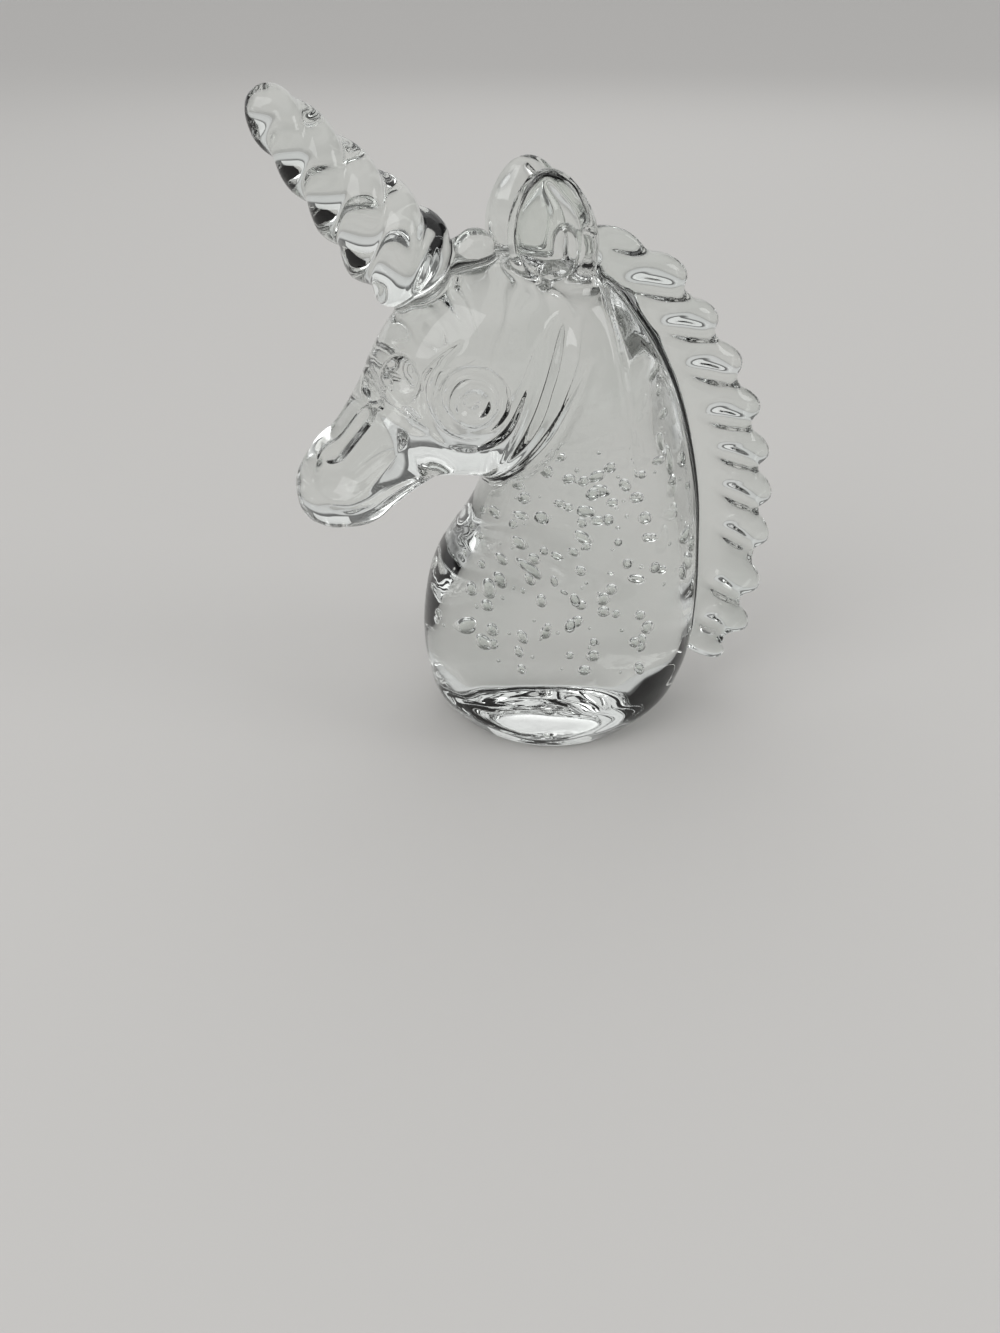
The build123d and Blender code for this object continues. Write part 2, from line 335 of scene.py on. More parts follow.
# %% Horn sizes
horn_length = 58.5
horn_radius = 12.6
horn_lean = 41.3
horn_along_share = 0.328
horn_rise_share = 0.50
horn_root_share = -0.11
horn_lead = 36.0
horn_lobes = 3.0
horn_groove_share = 0.78
horn_first_turn = -0.08
horn_steps = 220
horn_around = 144
# Each row: place up the horn from its root inside the head, and radius
horn_shares = [
    (-0.11, 0.50), (0.00, 0.60), (0.07, 0.90), (0.15, 1.00), (0.35, 0.93), (0.55, 0.78),
    (0.75, 0.65), (0.87, 0.56), (0.94, 0.44), (0.98, 0.29), (1.00, 0.12),
]
horn_turns = horn_length * (1 - horn_root_share) / horn_lead
print("horn twisted by", round(horn_turns, 2), "turns")

# %% Horn tree: the line
tree, size = new_tree("twisted horn", Length=horn_length, Root=-horn_root_share * horn_length,
                      Radius=horn_radius, Turns=horn_turns, Lobes=horn_lobes, Groove=horn_groove_share,
                      First=horn_first_turn)
root = put(tree, "ShaderNodeCombineXYZ", Z=calc(tree, "MULTIPLY", size["Root"], -1.0))
tip = put(tree, "ShaderNodeCombineXYZ", Z=size["Length"])
line = put(tree, "GeometryNodeCurvePrimitiveLine", Start=root, End=tip)
line = put(tree, "GeometryNodeResampleCurve", Curve=line, Count=horn_steps)
share = put(tree, "GeometryNodeSplineParameter").outputs["Factor"]
swell = put(tree, "ShaderNodeFloatCurve", Value=share)
draw_curve(swell, horn_shares)
tilt = calc(tree, "MULTIPLY_ADD", share, calc(tree, "MULTIPLY", size["Turns"], tau), size["First"])
line = put(tree, "GeometryNodeSetCurveTilt", Curve=line, Tilt=tilt)
print(len(tree.nodes), "nodes for the line")

# %% Horn tree: the lobes
ring = put(tree, "GeometryNodeCurvePrimitiveCircle", Resolution=horn_around, Radius=1.0)
place = put(tree, "GeometryNodeInputPosition")
axes = put(tree, "ShaderNodeSeparateXYZ", Vector=place).outputs
half_lobe = calc(tree, "DIVIDE", pi, size["Lobes"])
turn = calc(tree, "ARCTAN2", axes["Y"], axes["X"])
from_crown = calc(tree, "WRAP", turn, half_lobe, calc(tree, "MULTIPLY", half_lobe, -1.0))
# Each lobe is a circle whose centre stands off the axis, so that its crown is at 1, its notch at Groove
stand = calc(tree, "DIVIDE",
             calc(tree, "SUBTRACT", 1.0, calc(tree, "MULTIPLY", size["Groove"], size["Groove"])),
             calc(tree, "MULTIPLY", 2.0, calc(tree, "SUBTRACT", 1.0, calc(
                 tree, "MULTIPLY", size["Groove"], calc(tree, "COSINE", half_lobe)))))
along = calc(tree, "MULTIPLY", stand, calc(tree, "COSINE", from_crown))
across = calc(tree, "MULTIPLY", stand, calc(tree, "SINE", from_crown))
lobe = calc(tree, "SUBTRACT", 1.0, stand)
chord = calc(tree, "SQRT", calc(tree, "SUBTRACT", calc(tree, "MULTIPLY", lobe, lobe),
                                calc(tree, "MULTIPLY", across, across)))
lobed = put(tree, "ShaderNodeVectorMath", {"operation": "SCALE"},
            in_0=place, Scale=calc(tree, "ADD", along, chord))
ring = put(tree, "GeometryNodeSetPosition", Geometry=ring, Position=lobed)
swept = put(tree, "GeometryNodeCurveToMesh", Curve=line, Profile_Curve=ring,
            Scale=calc(tree, "MULTIPLY", swell, size["Radius"]), Fill_Caps=True)
close_tree(tree, swept)
print(len(tree.nodes), "nodes for the horn")

# %% Horn on the brow
horn_mesh = grown(tree)
horn_way = np.array([-sin(radians(horn_lean)), 0, cos(radians(horn_lean))])
from_cheek = muzzle_way * head_length * (horn_along_share - cheek_share)
horn_foot = head_centre + from_cheek + brow_way * head_height * horn_rise_share
across_horn = Vector((0, 1, 0))
horn_axes = Matrix((across_horn, Vector(horn_way).cross(across_horn), Vector(horn_way))).transposed()
horn_mesh.transform(Matrix.Translation(horn_foot) @ horn_axes.to_4x4())
horn = field_of(horn_mesh, 1)
print("horn of", len(horn_mesh.polygons), "faces")

# %% [markdown]
# ## The ears and the forelock
#
# Each ear is a small bit drawn up to a leaf and opened with a tool while hot, so it is a stack of
# ellipses with a second, thinner stack pressed into its outer face. The forelock is a bead of the
# horn's bit with a short strand.

# %% Ear sizes
ear_height = 31.5
ear_length = 22.0
ear_thickness = 11.0
ear_wall = 2.4
ear_back = 14.8
ear_rise = 19.0
ear_spread = 6.8
ear_splay = 5.0
left_ear_lean = 6.0
right_ear_lean = 1.0
ear_stagger = 4.5
ear_rings = 60
cup_lip = 1.0
horn_fillet = 2.2
# Each row: place up the ear, half length and half thickness
ear_shares = [
    (0.00, 0.34, 0.36), (0.25, 0.46, 0.46), (0.50, 0.50, 0.50),
    (0.72, 0.42, 0.42), (0.88, 0.28, 0.29), (0.96, 0.155, 0.16), (0.99, 0.05, 0.06),
]
cup_shares = [
    (0.13, 0.14, 0.14), (0.20, 0.27, 0.27), (0.32, 0.39, 0.40), (0.50, 0.44, 0.46), (0.72, 0.36, 0.38),
    (0.86, 0.20, 0.24), (0.93, 0.12, 0.14),
]
print("ears", ear_height, "mm high, with a wall of", ear_wall, "mm")


# %% Ears and horn
def leaf(rows, foot, up, shift, less):
    """A stack of ellipses up an ear, shifted along and across it, and less long and thick."""
    rings = []
    for place, half_length, half_thickness in smooth_rows(rows, ear_rings):
        x = shift[0] + (ear_length * half_length - less[0]) * np.cos(turns)
        y = shift[1] + (ear_thickness * half_thickness - less[1]) * np.sin(turns)
        across_ear = np.cross(up, np.array([1.0, 0, 0]))
        middle = foot + up * ear_height * place
        rings.append(middle + x[:, None] * np.array([1.0, 0, 0]) + y[:, None] * across_ear)
    return field_of(lofted("leaf", rings), 1)


for side, stagger, ear_lean in ((-1, 0.0, left_ear_lean), (1, -ear_stagger, right_ear_lean)):
    up = np.array([-sin(radians(ear_lean)), side * sin(radians(ear_splay)), cos(radians(ear_lean))])
    up /= np.linalg.norm(up)
    foot = head_centre + np.array([ear_back + stagger, side * ear_spread, ear_rise])
    ear = leaf(ear_shares, foot, up, (0, 0), (0, 0))
    cup = leaf(cup_shares, foot, up, (-ear_wall / 2, side * ear_wall), (ear_wall, ear_wall / 2))
    glass = fused(glass, pressed(ear, cup, cup_lip), fillet)
    print("ear on the poll at", foot.round(1))

glass = fused(glass, horn, horn_fillet)


# %% Rods in the block
def near(places, extent):
    """The part of the block within an extent of some places, and its coordinates."""
    low = np.floor((places.min(0) - extent - block_low) / voxel).astype(int).clip(0)
    high = np.ceil((places.max(0) + extent - block_low) / voxel).astype(int) + 1
    part = tuple(slice(a, b) for a, b in zip(low, high))
    x, y, z = (axis[piece] for axis, piece in zip(block_axes, part))
    return part, x[:, None, None], y[None, :, None], z[None, None, :]


def strand(places, radii, extent):
    """The distance to a rod along some places, with a radius at each, and the part it fills."""
    part, x, y, z = near(places, extent)
    least = None
    for start, end, thick, thin in zip(places, places[1:], radii, radii[1:]):
        way = end - start
        share = ((x - start[0]) * way[0] + (y - start[1]) * way[1] + (z - start[2]) * way[2]) / (way @ way)
        share = np.clip(share, 0, 1)
        away = np.sqrt((x - start[0] - share * way[0]) ** 2 + (y - start[1] - share * way[1]) ** 2
                       + (z - start[2] - share * way[2]) ** 2)
        away = away - thick - (thin - thick) * share
        least = away if least is None else np.minimum(least, away)
    return part, least.astype(np.float32)


def lay(places, radii, soft, extent=8.0):
    """A rod of glass laid on along some places."""
    part, rod = strand(np.array(places), radii, extent)
    glass[part] = fused(glass[part], rod, soft)


# %% Forelock and horn tip
forelock_radius = 5.2
forelock_back = 11.5
forelock_rise = 0.6
tip_inset = 5.8
bead = horn_foot - muzzle_way * forelock_back + brow_way * forelock_rise
bead_ends = [bead + muzzle_way * 2.6, bead - muzzle_way * 2.4]
bead_radii = [forelock_radius - 0.8, forelock_radius - 0.4]
# The wisp runs from the bead's top over the gap and onto the horn
wisp = [bead + brow_way * 2.5, bead + brow_way * 3.6 + muzzle_way * 5.0, horn_foot + horn_way * 11]
wisp_radii = [2.0, 1.8, 2.2]
tip = horn_foot + horn_way * (horn_length - tip_inset)
tip_ends = [tip, tip - horn_way * 3.0]
tip_radii = [5.6, 5.4]
lay(bead_ends, bead_radii, 1.2)
lay(wisp, wisp_radii, 1.2)
lay(tip_ends, tip_radii, 1.0)
print("forelock laid on at", bead.round(1))

# %% [markdown]
# ## The mane
#
# A thick strap of glass is laid along the back of the neck, and a blunt blade is pressed into both
# of its faces in slanting rows, so that fingers of glass stand between the rows. The strap is an arc
# swept with a rounded section. Fingers, rows and notches are one stretched ball, set out by a second
# tree on points that carry their own lean and size.

# %% Crest of the mane
crest_stand = 19.65
crest_rise_share = 0.400
crest_top_back = 26.7
crest_top_rise = 39.1
crest_start = -25.5
mane_depth = 24.0
mane_thickness = 7.6
# The crest is a circle. It stands off the breast, and passes a place above and behind the head's centre
crest_back = breast_length * max(row[1] + row[2] for row in gather_shares) + crest_stand
crest_rise = neck_height * crest_rise_share
crest_inward = crest_back - head_centre[0] - crest_top_back
crest_upward = head_centre[2] + crest_top_rise - crest_rise
crest_radius = float((crest_inward**2 + crest_upward**2) / (2 * crest_inward))
crest_centre = Vector((crest_back - crest_radius, 0, crest_rise))
crest_end = degrees(atan2(crest_upward, crest_radius - crest_inward))
print("crest with a radius of", round(crest_radius, 2), "mm")

# %% Strap tree
# The strap is smaller than the crest all round, so the fingers make the mane's edge
strap_inset = 2.2
strap_late = 1.0
strap_short = 5.5
strap_round_share = 0.42
tree, size = new_tree("mane strap", Radius=crest_radius - strap_inset, Depth=mane_depth - strap_inset,
                      Start=radians(crest_start + strap_late), Thickness=mane_thickness,
                      Sweep=radians(crest_end - crest_start - strap_short))
middle = calc(tree, "SUBTRACT", size["Radius"], calc(tree, "MULTIPLY", size["Depth"], 0.5))
arc = put(tree, "GeometryNodeCurveArc", {"mode": "RADIUS"}, Resolution=120, Radius=middle,
          Start_Angle=size["Start"], Sweep_Angle=size["Sweep"])
box = put(tree, "GeometryNodeCurvePrimitiveQuadrilateral", Width=size["Depth"], Height=size["Thickness"])
section = put(tree, "GeometryNodeFilletCurve", {"mode": "POLY"}, Curve=box, Count=6,
              Radius=calc(tree, "MULTIPLY", size["Thickness"], strap_round_share))
swept = put(tree, "GeometryNodeCurveToMesh", Curve=arc, Profile_Curve=section, Fill_Caps=True)
upright = put(tree, "GeometryNodeTransform", Geometry=swept, Rotation=(radians(90), 0, 0))
close_tree(tree, upright)
strap_mesh = grown(tree)
strap_mesh.transform(Matrix.Translation(crest_centre))
mane = field_of(strap_mesh, 1)
print("strap of", len(strap_mesh.polygons), "faces")

# %% Press tree
press_tree, size = new_tree("presses", Detail=3)
ball = put(press_tree, "GeometryNodeMeshIcoSphere", Radius=1.0, Subdivisions=size["Detail"])
lean = put(press_tree, "GeometryNodeInputNamedAttribute", Name="lean")
grow = put(press_tree, "GeometryNodeInputNamedAttribute", {"data_type": "FLOAT_VECTOR"}, Name="size")
turned = put(press_tree, "ShaderNodeCombineXYZ", Y=lean)
balls = put(press_tree, "GeometryNodeInstanceOnPoints", Points=size["Geometry"], Instance=ball,
            Rotation=turned, Scale=grow)
close_tree(press_tree, balls)
print(len(press_tree.nodes), "nodes for the presses")


def balls_at(name, rows):
    """A field of stretched balls, each row a place, a lean in degrees and three half sizes."""
    start = bpy.data.meshes.new(name)
    start.from_pydata([row[0] for row in rows], [], [])
    leans = [radians(row[1]) for row in rows]
    sizes = [value for row in rows for value in row[2]]
    start.attributes.new("lean", "FLOAT", "POINT").data.foreach_set("value", leans)
    start.attributes.new("size", "FLOAT_VECTOR", "POINT").data.foreach_set("vector", sizes)
    return field_of(grown(press_tree, start=start), 1)


# %% Rows and fingers
# Each row between two fingers ends at the crest: its turn there, its slope and its length
row_turns = [50.4, 40.5, 32.8, 24.8, 17.0, 10.0, 2.8, -4.6, -14.0, -20.2]
row_slopes = [-14.5, -13.0, -12.5, -16.5, -15.5, -24.0, -31.0, -36.0, -37.0, -34.0]
row_lengths = [13.0, 19.0, 17.0, 17.0, 15.5, 15.5, 15.5, 15.0, 14.0, 12.0]
row_inset = 1.5
row_stand = 2.0
row_half_share = 0.64
row_half_depth = 3.9
row_half_width = 4.4
notch_stand = 2.2
notch_halves = (3.9, 6.5, 2.4)
upper_weight = 0.42
lower_weight = 0.58
finger_stand = 2.0
finger_halves = (9.6, 4.4, 5.2)
# The fingers at the mane's ends: turn, inset from the crest, lean and half sizes
end_fingers = [
    (55.5, 6.2, 16.0, (8.4, 4.2, 4.4)),
    (59.5, 12.5, 70.0, (8.5, 4.2, 5.2)),
    (-23.3, 7.5, 30.0, (8.0, 4.2, 3.4)),
]


def way_at(turn):
    """The way out from the crest's centre at a turn in degrees."""
    return Vector((cos(radians(turn)), 0, sin(radians(turn))))


def crest_place(turn, radius):
    """A place at a turn and a distance from the crest's centre."""
    return crest_centre + way_at(turn) * radius


rows, notches, fingers = [], [], []
for turn, row_slope, length in zip(row_turns, row_slopes, row_lengths):
    place = crest_place(turn, crest_radius - row_inset) - way_at(row_slope) * length * 0.5
    for side in (-1, 1):
        aside = Vector((0, side * (mane_thickness / 2 + row_stand), 0))
        rows.append((place + aside, -row_slope, (length * row_half_share, row_half_depth, row_half_width)))
    notches.append((crest_place(turn, crest_radius + notch_stand), -turn, notch_halves))
for upper, lower, row_slope in zip(rows[0::2], rows[2::2], row_slopes[1:]):
    place = upper[0] * upper_weight + lower[0] * lower_weight
    place.y = 0
    fingers.append((place + way_at(row_slope) * finger_stand, -row_slope, finger_halves))
for turn, inset, finger_lean, halves in end_fingers:
    fingers.append((crest_place(turn, crest_radius - inset), finger_lean, halves))
print(len(fingers), "fingers and", len(row_turns), "rows")

# %% Mane pressed and laid on
# Every other finger goes in at a time, because neighbours overlap
for start in (0, 1):
    mane = fused(mane, balls_at("fingers", fingers[start::2]), 1.2)
mane = pressed(mane, balls_at("rows", rows), 1.2)
mane = pressed(mane, balls_at("notches", notches), 0.8)
glass = fused(glass, mane, fillet)
print("with the mane,", int((glass < 0).sum()), "voxels of glass")

# %% [markdown]
# ## The maker's strokes
#
# The face is drawn with tools on the soft glass: a thumb press on the cheek of the muzzle, a dimple
# for the nostril, a socket with a bit pressed in for the eye, and grooves from the edge of a jack.
# Each stroke is a rod or ball sunk into the skin along a few places, on both sides. The places are
# given from the side, and a ray across the block finds the skin. Clear glass shows the marks of
# both sides at once, so the right side takes the same strokes much shallower, and the face reads.

# %% Stroke helpers
first_reheat = 0.45
last_reheat = 0.32
# The depth of a stroke on the right side, as a share of the left side's
far_share = 0.4
glass = blurred(glass, first_reheat)


def skin_at(x, z, side):
    """The skin beside a place seen from the side, and the way out of the glass there."""
    at = np.array([(x - block_low[0]) / voxel, (z - block_low[2]) / voxel])
    (i, k), (a, c) = at.astype(int), at - at.astype(int)
    near_x = glass[i] * (1 - a) + glass[i + 1] * a
    column = near_x[:, k] * (1 - c) + near_x[:, k + 1] * c
    order = np.arange(block_size[1]) if side < 0 else np.arange(block_size[1])[::-1]
    values = column[order]
    if values.min() > -voxel:
        return None
    first = int(np.argmax(values < 0))
    share = values[first - 1] / (values[first - 1] - values[first])
    j = order[first - 1] + (order[first] - order[first - 1]) * share
    jn = int(round(j))
    out = np.array([glass[i + 1, jn, k] - glass[i - 1, jn, k], glass[i, jn + 1, k] - glass[i, jn - 1, k],
                    glass[i, jn, k + 1] - glass[i, jn, k - 1]])
    return np.array([x, block_low[1] + j * voxel, z]), out / np.linalg.norm(out)


def stroke(path, radius, depth, soft=0.5, thin=None):
    """A rod sunk to a depth along places on both sides. With a depth less than zero it stands proud."""
    global glass
    rows = [(number, *place) for number, place in enumerate(path)]
    places = smooth_rows(rows, 5 * len(rows))[:, 1:] if len(path) > 2 else np.array(path, float)
    ends = np.linspace(0, 1, len(places))
    radii = radius + ((radius if thin is None else thin) - radius) * np.abs(2 * ends - 1) ** 3
    for side in (-1, 1):
        spots, sizes = [], []
        for (x, z), size_here in zip(places, radii):
            found = skin_at(x, z, side)
            if found:
                sunk = depth * size_here / radius * (1 if side < 0 else far_share)
                lift = size_here - sunk if depth > 0 else -size_here - sunk
                spots.append(found[0] + found[1] * lift)
                sizes.append(size_here)
        if len(spots) == 1:
            spots, sizes = [spots[0], spots[0] + 0.01], sizes * 2
        part, rod = strand(np.array(spots), sizes, radius + 3)
        glass[part] = pressed(glass[part], rod, soft) if depth > 0 else fused(glass[part], rod, soft)


def draw(strokes):
    """Strokes by name: places, radius, depth, and where they matter the lip and the radius at the ends."""
    for path, *sizes in strokes.values():
        stroke(path, *sizes)
    print("drawn:", ", ".join(strokes))


# %% The muzzle and the mouth
# The lower lip, from the front back to the corner of the mouth: x, z and radius after a number
lip_rows = [(0, -58.4, 66.0, 4.2), (1, -54.3, 63.4, 4.6), (2, -49.6, 63.3, 4.2), (3, -44.6, 65.9, 3.2),
            (4, -39.4, 69.0, 2.5), (5, -34.2, 71.8, 1.9)]
lip = smooth_rows(lip_rows, 24)[:, 1:]
for aside in (-3.0, 0.0, 3.0):
    lay(np.column_stack([lip[:, 0], np.full(len(lip), aside), lip[:, 1]]), lip[:, 2], 1.5)
# A short thick rod fills the front of the muzzle above the lip
lay([(-58.4, 0, 70.6), (-55.4, 0, 75.0)], [8.2, 8.6], 3.0, extent=12)
mouth = [(-58.6, 66.6), (-53.8, 65.8), (-48.9, 67.1), (-45.0, 69.4), (-40.8, 71.4), (-36.0, 72.6)]
draw({
    "thumb press": ([(-55.2, 76.8), (-47.9, 85.3)], 13.5, 4.0, 0.3),
    "mouth": (mouth, 1.4, 1.7, 0.5, 0.7),
})

# %% [markdown]
# ## The nostril, the folds and the eyes
#
# A round tool makes the nostril. Two creases run under it, and two more run down behind the cheek,
# where the head was drawn out of the gather. Each eye lies in a wide socket inside a groove like a
# teardrop. It is a flat bit of glass with a ring pressed into it, a dent for the pupil and a dot.

# %% The nostril, the folds and the cheek
fold = [(-49.0, 97.6), (-47.8, 96.0), (-43.8, 92.2), (-39.2, 89.7), (-34.3, 88.0)]
crease = [(-47.7, 100.2), (-46.1, 97.8), (-42.7, 94.8), (-38.5, 92.3), (-35.3, 90.8)]
cheek = [(-2.0, 114.4), (-4.2, 109.7), (-7.4, 99.3), (-10.5, 89.6), (-15.0, 79.2)]
jaw = [(5.7, 103.6), (1.2, 93.5), (-3.7, 84.2), (-9.2, 77.1), (-14.8, 72.5)]
draw({
    "nostril": ([(-41.0, 101.0), (-40.4, 99.8)], 5.2, 4.6, 0.25),
    "fold": (fold, 2.1, 2.2, 0.4, 0.7),
    "crease": (crease, 1.3, 1.2, 0.3, 0.4),
    "cheek": (cheek, 3.4, 1.8, 0.6, 0.8),
    "jaw": (jaw, 1.8, 1.4, 0.5, 0.5),
})

# %% The eyes
eye_x, eye_z = -23.5, 95.9
middle = [(eye_x, eye_z)]
ring = [(eye_x + 7.4 * cos(radians(a)), eye_z + 7.6 * sin(radians(a))) for a in range(0, 361, 20)]
lid = [(-33.6, 102.4), (-30.4, 104.2), (-26.7, 105.3), (-22.0, 106.0)]
teardrop = [(-26.0, 109.7), (-29.3, 107.0), (-33.0, 103.0), (-34.9, 96.4), (-33.4, 90.3), (-29.4, 86.0),
            (-24.3, 84.6), (-19.4, 86.3), (-15.9, 89.9), (-13.0, 96.2), (-10.8, 101.1), (-9.2, 105.6),
            (-7.1, 110.9)]
draw({
    "socket": (middle, 24.0, 3.1, 0.5),
    "teardrop": (teardrop, 1.8, 2.1, 0.3, 0.5),
    "lid": (lid, 1.0, 0.8, 0.3, 0.3),
    "bit": (middle, 12.5, -3.8, 0.3),
    "ring": (ring, 1.6, 2.2, 0.3),
    "pupil": (middle, 4.4, 3.2, 0.3),
    "dot": (middle, 2.2, -1.4, 0.3),
})

# %% The line down the neck
neck_line = [(10.1, 122.1), (10.3, 116.0), (12.3, 106.9), (15.0, 89.7), (16.4, 75.3)]
draw({"neck line": (neck_line, 1.1, 0.8, 0.3, 0.3)})
glass = blurred(glass, last_reheat)

# %% [markdown]
# ## One skin, ten pieces
#
# The real figurine is one mass of glass made of ten bits, so the bits share one skin. Each voxel
# inside the glass is given to the nearest bit of the frame, and the skin is drawn once, cell by
# cell: one point to a cell, one face wherever two voxels have different owners. A face between
# glass and air goes to that bit as glass. A face between two bits goes to both, as a fused seam.
# So every piece is closed, and neighbours share their seam point for point.

# %% Owners of the glass
glass = np.maximum(glass, -block_axes[2][None, None, :].astype(np.float32))
owners = ["neck_casing", "head", "horn", "forelock", "left_ear", "right_ear", "left_eye", "right_eye", "mane"]
core_name = "bubble_core"
far_off = 50.0
closest = field_of(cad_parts["neck_casing"].data)
closest = np.minimum(closest, field_of(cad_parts[core_name].data))
margin = np.full(block_size, far_off, np.float32)
owner = np.zeros(block_size, np.uint8)
for number, name in enumerate(owners[1:], 1):
    field = field_of(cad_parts[name].data)
    nearer = field < closest
    margin = np.where(nearer, closest - field, np.minimum(margin, field - closest))
    closest = np.where(nearer, field, closest)
    owner[nearer] = number
labels = np.where(glass < 0, owner + 1, 0).astype(np.int16)
print("voxels of glass in each bit:", dict(zip(owners, np.bincount(labels.ravel())[1:].tolist())))

# %% The shared points
def cells_at(spots, others, steps):
    """The cells that meet at some crossings, each a step or none back along two axes."""
    for step in steps:
        cell = spots.copy()
        cell[:, others] += step
        yield cell


cells = tuple(n - 1 for n in block_size)
total = np.zeros(cells + (3,), np.float32)
count = np.zeros(cells, np.float32)
seam_total = np.zeros(cells + (3,), np.float32)
seam_count = np.zeros(cells, np.float32)
crossings = []
for axis in range(3):
    low_part = tuple(slice(0, -1) if a == axis else slice(None) for a in range(3))
    high_part = tuple(slice(1, None) if a == axis else slice(None) for a in range(3))
    first, second = labels[low_part], labels[high_part]
    spots = np.argwhere(first != second)
    i = tuple(spots.T)
    outer = (first[i] == 0) | (second[i] == 0)
    a = np.where(outer, glass[low_part][i], margin[low_part][i])
    b = np.where(outer, -glass[high_part][i], margin[high_part][i])
    share = a / np.where(np.abs(a + b) < 1e-6, 1, a + b)
    place = spots.astype(np.float32)
    place[:, axis] += np.clip(share, 0, 1)
    others = [other for other in range(3) if other != axis]
    for cell in cells_at(spots, others, ((0, 0), (0, -1), (-1, 0), (-1, -1))):
        for kind, sums, counts in ((outer, total, count), (~outer, seam_total, seam_count)):
            index = tuple(cell[kind].T)
            np.add.at(sums, index, place[kind])
            np.add.at(counts, index, 1)
    crossings.append((spots, first[i], second[i], others))
on_skin = count > 0
in_use = on_skin | (seam_count > 0)
point_number = np.full(cells, -1, np.int32)
point_number[in_use] = np.arange(in_use.sum())
points = np.where(on_skin[in_use][:, None], total[in_use] / np.maximum(count[in_use], 1)[:, None],
                  seam_total[in_use] / np.maximum(seam_count[in_use], 1)[:, None])
skin_point = on_skin[in_use]
print(len(points), "shared points,", int(skin_point.sum()), "of them on the skin")

# %% Points pulled onto the skin
pulls = 3
longest_pull = 0.3
least_fall = 0.05


def sampled(field, places):
    """A field's value at places given in voxels."""
    base = np.clip(places.astype(int), 0, np.array(block_size) - 2)
    part = places - base
    value = 0
    for corner in np.ndindex(2, 2, 2):
        weight = np.prod(np.where(corner, part, 1 - part), axis=1)
        value = value + weight * field[tuple((base + corner).T)]
    return value


def fall_at(places):
    """The direction in which the glass falls away, at places given in voxels."""
    rises = [sampled(glass, places + step) - sampled(glass, places - step) for step in np.eye(3)]
    return np.column_stack(rises) / (2 * voxel)


for pull in range(pulls):
    place = points[skin_point].astype(float)
    fall = fall_at(place)
    step = sampled(glass, place) / np.maximum((fall**2).sum(1), least_fall)
    points[skin_point] = place - np.clip(step, -longest_pull, longest_pull)[:, None] * fall / voxel
print("mean length of the last pull:", round(float(np.abs(step).mean()), 4), "mm")
way_out = np.zeros_like(points)
way_out[skin_point] = fall_at(points[skin_point].astype(float))
way_out[~skin_point] = (0, 0, 1)
way_out /= np.maximum(np.linalg.norm(way_out, axis=1), 1e-6)[:, None]
points = (points * voxel + block_low) * mm
points[:, 2] = np.maximum(points[:, 2], 0)

# %% [markdown]
# ## The pieces
#
# Each bit takes its own faces from the shared skin. The normals come from the field, not from the
# faces, so the light bends smoothly over a seam's edge and the seam doesn't show.

# %% Faces of the skin and the seams
all_faces, all_sides = [], []
for axis, (spots, first, second, others) in enumerate(crossings):
    around = cells_at(spots, others, ((0, 0), (-1, 0), (-1, -1), (0, -1)))
    quad = np.column_stack([point_number[tuple(cell.T)] for cell in around])
    if axis == 1:
        quad = quad[:, ::-1]
    all_faces.append(quad)
    all_sides.append(np.column_stack([first, second]))
all_faces = np.concatenate(all_faces)
all_sides = np.concatenate(all_sides)
print(len(all_faces), "faces,", int((all_sides.min(1) > 0).sum()), "of them in seams")

# %% Pieces with a skin and seams
clear_glass = bpy.data.materials.new("clear_glass")
bubbled_glass = bpy.data.materials.new("bubbled_glass")
fused_seam = bpy.data.materials.new("fused_seam")
print("materials:", bpy.data.materials.keys())


def piece_of(label, name, material, extra=None):
    """The closed piece of one owner, with the skin in slot 0 and the seams in slot 1."""
    low_side = all_sides[:, 0] == label
    high_side = all_sides[:, 1] == label
    quads = np.concatenate([all_faces[low_side], all_faces[high_side][:, ::-1]])
    seam = np.concatenate([all_sides[low_side, 1], all_sides[high_side, 0]]) > 0
    used, numbers = np.unique(quads, return_inverse=True)
    places, normals, faces = points[used].tolist(), way_out[used], numbers.reshape(-1, 4).tolist()
    slots = seam.astype(int).tolist()
    if extra:
        more_places, more_faces, more_normals = extra
        faces += [tuple(corner + len(places) for corner in face) for face in more_faces]
        places += more_places
        normals = np.concatenate([normals, more_normals])
        slots += [1] * len(more_faces)
    mesh = bpy.data.meshes.new(name)
    mesh.from_pydata(places, [], faces)
    mesh.materials.append(material)
    mesh.materials.append(fused_seam)
    mesh.polygons.foreach_set("material_index", slots)
    mesh.shade_smooth()
    mesh.normals_split_custom_set_from_vertices(normals.tolist())
    return linked(name, mesh)


# %% The core and the hollow round it
# Each row: place up the neck, middle, half length and half width
core_shares = [
    (0.115, 0.030, 0.210, 0.230), (0.135, 0.030, 0.310, 0.330), (0.185, 0.031, 0.395, 0.400),
    (0.270, 0.036, 0.432, 0.430), (0.380, 0.050, 0.413, 0.412), (0.490, 0.107, 0.325, 0.350),
    (0.570, 0.173, 0.215, 0.265), (0.630, 0.213, 0.145, 0.180), (0.662, 0.227, 0.070, 0.085),
]
core_rings = [gather_ring(*row)[::4] for row in smooth_rows(core_shares, 36)]
core_mesh = lofted("glass_core", core_rings)
core_mesh.transform(Matrix.Scale(mm, 4))
core_places = [tuple(v.co) for v in core_mesh.vertices]
core_faces = [tuple(f.vertices) for f in core_mesh.polygons]
core_normals = np.array([tuple(v.normal) for v in core_mesh.vertices])
hollow = (core_places, [face[::-1] for face in core_faces], -core_normals)
print("core of", len(core_faces), "faces")

